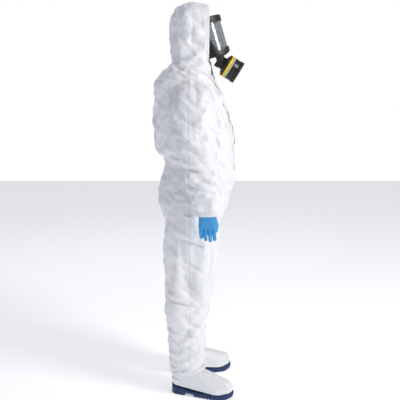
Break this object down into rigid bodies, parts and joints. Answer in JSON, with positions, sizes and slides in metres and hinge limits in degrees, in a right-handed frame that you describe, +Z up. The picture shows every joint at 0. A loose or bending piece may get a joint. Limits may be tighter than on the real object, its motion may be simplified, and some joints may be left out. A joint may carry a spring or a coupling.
{
  "type": "chemical protective suit",
  "caption": "Hooded one-piece protective coverall with full-face respirator and screw-on canister, blue gloves and white safety boots, standing in its worn shape.",
  "frame": {"origin": "on the floor under the middle of the suit", "axes": "+Z up, the wearer faces -Y, the wearer's right side is at -X"},
  "size_m": [0.7494, 0.4234, 1.8677],
  "materials": {
    "coverall": "white laminate film on spunbond polypropylene, creased, soft sheen",
    "elastic": "gathered white fabric casing over elastic",
    "zip_tape": "woven white polyester tape",
    "zip_coil": "nylon coil",
    "zip_metal": "plated zinc casting",
    "adhesive": "self-adhesive tape on its release paper",
    "glove": "sky-blue nitrile film, satin",
    "boot_white": "white moulded PVC, satin with light scuffs",
    "boot_navy": "navy moulded nitrile rubber, matt",
    "insole": "grey needle felt over foam",
    "toecap": "pressed steel, grey paint",
    "lens": "clear hard-coated polycarbonate",
    "mask_black": "black glass-filled nylon",
    "face_blank": "black moulded rubber",
    "inner_mask": "light grey silicone",
    "valve": "orange silicone disc",
    "strap": "black rubber strap",
    "screw": "stainless steel",
    "filter_black": "black ABS, satin",
    "filter_bands": "coloured band label with no lettering",
    "gasket": "black rubber ring"
  },
  "bodies": {
    "torso": {"front_panel_right": "coverall", "front_panel_left": "coverall", "back_panel": "coverall", "waist_elastic": "elastic", "seat_panel": "coverall", "crotch_gusset": "coverall", "zip_tapes": "zip_tape", "zip_coil": "zip_coil", "zip_stops": "zip_metal", "storm_flap": "coverall", "flap_adhesive_tape": "adhesive", "chin_flap": "coverall", "mask_lens": "lens", "mask_frame_upper": "mask_black", "mask_frame_lower": "mask_black", "mask_frame_screws": "screw", "mask_face_seal": "face_blank", "mask_oronasal": "inner_mask", "mask_connector": "mask_black", "mask_outlet_cover": "mask_black", "mask_harness": "strap", "harness_buckles": "screw"},
    "hood": {"hood_centre_panel": "coverall", "hood_side_right": "coverall", "hood_side_left": "coverall", "face_elastic": "elastic"},
    "slider": {"zip_slider": "zip_metal"},
    "pull": {"zip_pull": "zip_metal"},
    "filter_seat": {"filter_gasket": "gasket"},
    "filter": {"filter_body": "filter_black", "filter_label": "filter_bands", "filter_cap": "filter_black"},
    "inlet_disc": {"mask_inlet_valve": "valve"},
    "outlet_discs": {"mask_outlet_valve": "valve"},
    "right_arm": {"right_upper_sleeve": "coverall"},
    "right_forearm": {"right_elbow_panel": "coverall", "right_lower_sleeve": "coverall", "right_cuff_elastic": "elastic", "right_glove": "glove"},
    "right_thigh": {"right_thigh_panel": "coverall", "right_knee_panel": "coverall"},
    "right_shin": {"right_shin_panel": "coverall", "right_ankle_elastic": "elastic", "right_boot_upper": "boot_white", "right_boot_sole": "boot_navy", "right_boot_insole": "insole", "right_boot_toecap": "toecap"},
    "left_arm": {"left_upper_sleeve": "coverall"},
    "left_forearm": {"left_elbow_panel": "coverall", "left_lower_sleeve": "coverall", "left_cuff_elastic": "elastic", "left_glove": "glove"},
    "left_thigh": {"left_thigh_panel": "coverall", "left_knee_panel": "coverall"},
    "left_shin": {"left_shin_panel": "coverall", "left_ankle_elastic": "elastic", "left_boot_upper": "boot_white", "left_boot_sole": "boot_navy", "left_boot_insole": "insole", "left_boot_toecap": "toecap"}
  },
  "joints": [
    {"name": "hood_back", "type": "hinge", "parent": "torso", "child": "hood", "pos_m": [0, 0.142, 1.603], "axis": [-1, 0, 0], "range_deg": [0, 85], "deforming": ["hood_side_right", "hood_side_left", "face_elastic"]},
    {"name": "zip_run", "type": "hinge", "parent": "torso", "child": "slider", "pos_m": [0, 0.543, 1.155], "axis": [1, 0, 0], "range_deg": [0, 41.5]},
    {"name": "pull_lift", "type": "hinge", "parent": "slider", "child": "pull", "pos_m": [0, -0.06765, 1.50026], "axis": [-1, 0, 0], "range_deg": [0, 7]},
    {"name": "filter_turn", "type": "hinge", "parent": "filter_seat", "child": "filter", "pos_m": [0, -0.113, 1.582], "axis": [0, -0.848, -0.5299], "range_deg": [0, 1080]},
    {"name": "filter_travel", "type": "slide", "parent": "torso", "child": "filter_seat", "axis": [0, -0.848, -0.5299], "range_m": [0, 0.0109]},
    {"name": "inlet_lift", "type": "slide", "parent": "torso", "child": "inlet_disc", "axis": [0, 0.848, 0.5299], "range_m": [0, 0.0015], "stiffness_N_per_m": 30, "springref_m": -0.0005},
    {"name": "outlet_lift", "type": "slide", "parent": "torso", "child": "outlet_discs", "axis": [0, -0.284, -0.9588], "range_m": [0, 0.002], "stiffness_N_per_m": 30, "springref_m": -0.0015},
    {"name": "right_shoulder", "type": "hinge", "parent": "torso", "child": "right_arm", "pos_m": [-0.2, 0.035, 1.405], "axis": [-1, 0, 0], "range_deg": [-35, 90]},
    {"name": "right_elbow", "type": "hinge", "parent": "right_arm", "child": "right_forearm", "pos_m": [-0.297, -0.02, 1.143], "axis": [-1, 0, 0], "range_deg": [0, 90], "deforming": ["right_elbow_panel"]},
    {"name": "right_hip", "type": "hinge", "parent": "torso", "child": "right_thigh", "pos_m": [-0.116, 0.03, 0.93], "axis": [-1, 0, 0], "range_deg": [-15, 55], "deforming": ["seat_panel"]},
    {"name": "right_knee", "type": "hinge", "parent": "right_thigh", "child": "right_shin", "pos_m": [-0.116, 0.085, 0.5], "axis": [1, 0, 0], "range_deg": [0, 85], "deforming": ["right_knee_panel"]},
    {"name": "left_shoulder", "type": "hinge", "parent": "torso", "child": "left_arm", "pos_m": [0.2, 0.035, 1.405], "axis": [-1, 0, 0], "range_deg": [-35, 90]},
    {"name": "left_elbow", "type": "hinge", "parent": "left_arm", "child": "left_forearm", "pos_m": [0.297, -0.02, 1.143], "axis": [-1, 0, 0], "range_deg": [0, 90], "deforming": ["left_elbow_panel"]},
    {"name": "left_hip", "type": "hinge", "parent": "torso", "child": "left_thigh", "pos_m": [0.116, 0.03, 0.93], "axis": [-1, 0, 0], "range_deg": [-15, 55], "deforming": ["seat_panel"]},
    {"name": "left_knee", "type": "hinge", "parent": "left_thigh", "child": "left_shin", "pos_m": [0.116, 0.085, 0.5], "axis": [1, 0, 0], "range_deg": [0, 85], "deforming": ["left_knee_panel"]}
  ],
  "couplings": [
    {"joint": "filter_travel", "follows": "filter_turn", "m_per_rad": 0.0005776}
  ]
}
